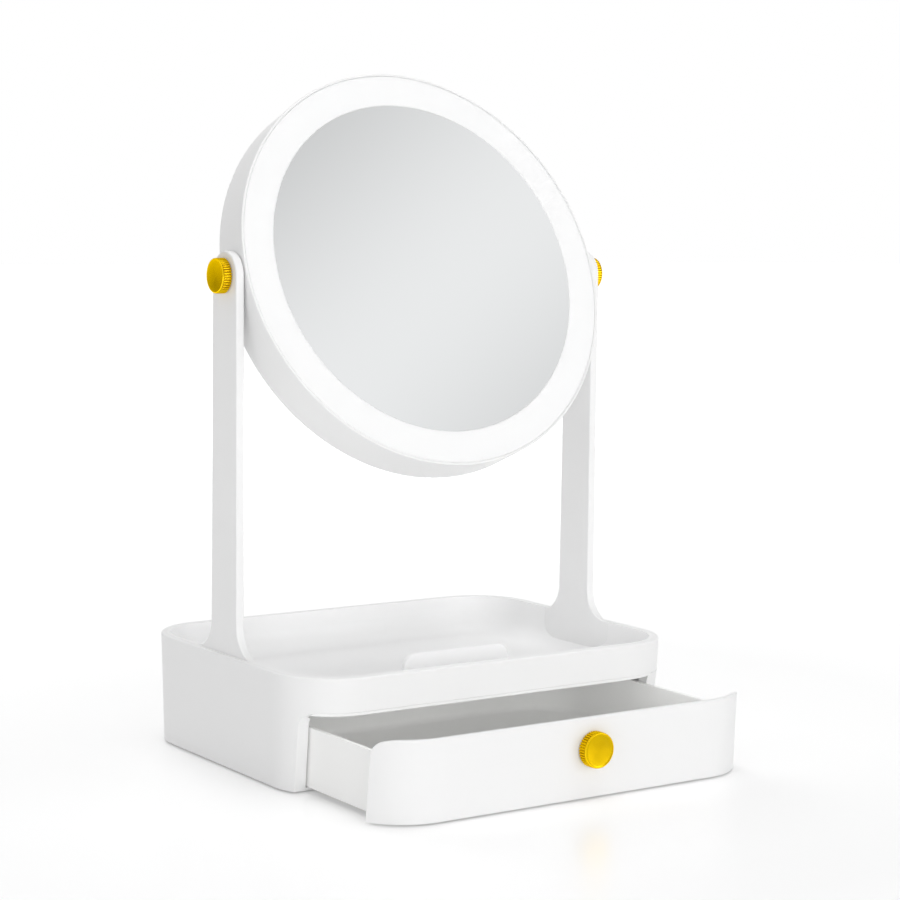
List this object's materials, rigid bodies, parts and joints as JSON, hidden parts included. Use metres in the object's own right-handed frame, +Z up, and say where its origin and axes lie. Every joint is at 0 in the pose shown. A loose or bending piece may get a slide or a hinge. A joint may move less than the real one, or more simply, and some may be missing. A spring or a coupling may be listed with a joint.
{
  "type": "vanity mirror with drawer",
  "caption": "Round lit vanity mirror that tilts between two uprights on a rounded base with an open tray and a wrap-around drawer.",
  "frame": {"origin": "on the table, under the middle of the base", "axes": "+Z up, the mirror and the drawer face -Y, +X to the right of a person who faces the drawer"},
  "size_m": [0.2246, 0.2325, 0.3349],
  "materials": {
    "white_shell": "satin white injection-moulded plastic",
    "white_tray": "satin white injection-moulded plastic, slightly softer than the shell",
    "inner_plastic": "plain white plastic of the hidden parts",
    "brass": "brushed brass, knurled on the band, turned on the face",
    "opal": "translucent opal acrylic",
    "mirror": "silvered float glass with ground edge",
    "rubber": "soft grey rubber",
    "steel": "zinc-plated steel",
    "nylon": "natural nylon",
    "board": "white glass-fibre circuit board",
    "led": "phosphor-covered light chip",
    "cell": "plain dry cell jacket",
    "wire": "insulated wire",
    "switch": "black switch body"
  },
  "bodies": {
    "base": {"base_housing": "white_shell", "base_floor": "white_shell", "rubber_feet": "rubber", "floor_screws": "steel", "upright_screws": "steel", "tray": "white_tray", "left_upright": "white_shell", "right_upright": "white_shell", "left_pivot_bush": "nylon", "right_pivot_bush": "nylon"},
    "drawer": {"drawer_tub": "white_shell", "drawer_front": "white_shell", "drawer_knob": "brass", "drawer_knob_screw": "steel", "drawer_front_screws": "steel", "drawer_glides": "nylon"},
    "mirror_head": {"head_housing": "white_shell", "light_diffuser": "opal", "mirror_glass": "mirror", "mirror_carrier": "inner_plastic", "led_board": "board", "leds": "led", "head_screws": "steel", "left_pivot_stud": "steel", "right_pivot_stud": "steel", "batteries": "cell", "battery_contacts": "steel", "control_board": "board", "power_switch": "switch", "battery_leads": "wire", "light_leads": "wire"},
    "left_knob": {"left_pivot_knob": "brass"},
    "right_knob": {"right_pivot_knob": "brass"},
    "cover": {"battery_cover": "white_shell"},
    "button": {"power_button": "white_shell"}
  },
  "joints": [
    {"name": "drawer_slide", "type": "slide", "parent": "base", "child": "drawer", "axis": [0, -1, 0], "range_m": [-0.061, 0.043]},
    {"name": "head_tilt", "type": "hinge", "parent": "base", "child": "mirror_head", "pos_m": [0, 0, 0.2355], "axis": [1, 0, 0], "continuous": true},
    {"name": "left_knob_turn", "type": "hinge", "parent": "mirror_head", "child": "left_knob", "pos_m": [-0.1102, 0, 0.2355], "axis": [-1, 0, 0], "range_deg": [0, 180]},
    {"name": "right_knob_turn", "type": "hinge", "parent": "mirror_head", "child": "right_knob", "pos_m": [0.1102, 0, 0.2355], "axis": [1, 0, 0], "range_deg": [0, 180]},
    {"name": "battery_cover_swing", "type": "hinge", "parent": "mirror_head", "child": "cover", "pos_m": [0, -0.01586, 0.16073], "axis": [-1, 0, 0], "range_deg": [0, 75]},
    {"name": "power_button_press", "type": "slide", "parent": "mirror_head", "child": "button", "axis": [0, -0.9295, 0.3689], "range_m": [0, 0.001], "stiffness_N_per_m": 600, "springref_m": -0.0005}
  ]
}
